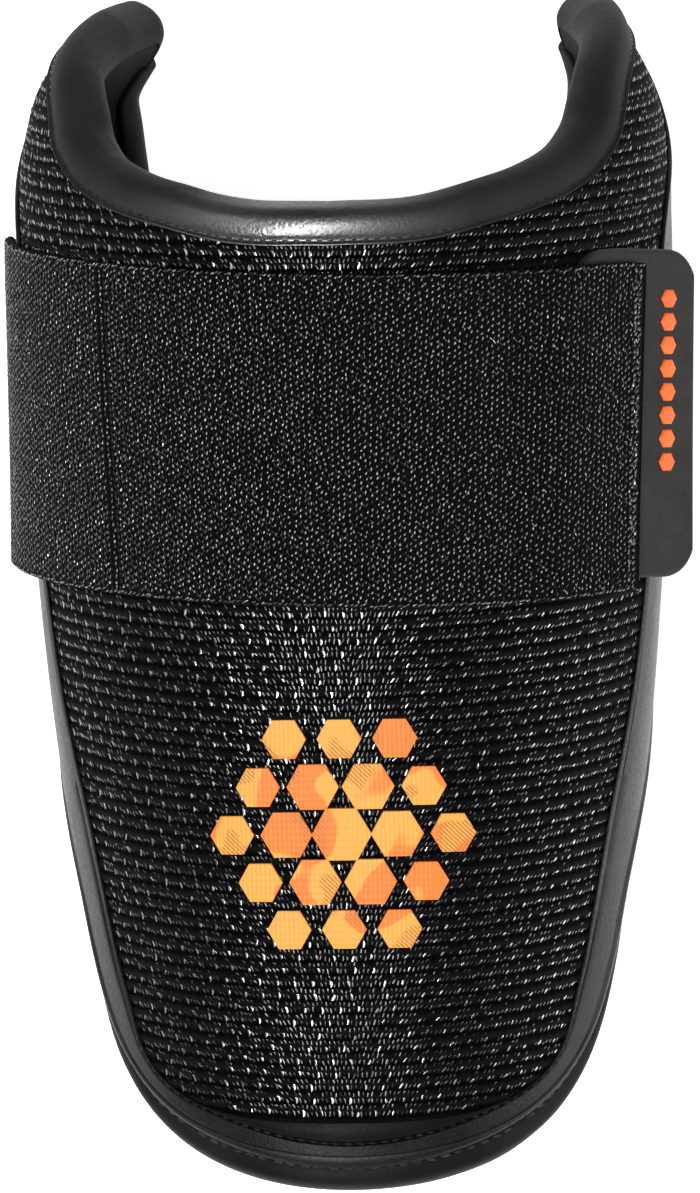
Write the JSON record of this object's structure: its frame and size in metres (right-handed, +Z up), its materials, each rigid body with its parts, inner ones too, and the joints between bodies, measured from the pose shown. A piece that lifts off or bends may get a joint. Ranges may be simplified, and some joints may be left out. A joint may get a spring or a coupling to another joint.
{
  "type": "elbow guard",
  "caption": "Padded elbow guard with a curved knit front, leather-look border, rolled top notch with two ears, and a wide elastic strap with a rubber pull tab.",
  "frame": {"origin": "middle of the underside of the whole guard, on the floor it lies on", "axes": "+Y along the arm towards the ears, -Y towards the tip, +Z up out of the curved front, X across the arm"},
  "size_m": [0.1176, 0.2032, 0.0817],
  "materials": {
    "air_mesh": "black knitted air mesh",
    "smooth_leather": "black fine-grained synthetic leather",
    "liner_knit": "dark grey matte knit",
    "elastic": "black twill elastic",
    "tab_rubber": "dark warm grey matte rubber",
    "hook_tape": "black hook tape"
  },
  "bodies": {
    "root": {"mesh_panel": "air_mesh", "side_panel": "smooth_leather", "liner_pad": "liner_knit", "top_binding": "smooth_leather", "rim_binding": "smooth_leather", "strap": "elastic", "pull_tab": "tab_rubber", "hook_patch": "hook_tape"}
  },
  "joints": []
}
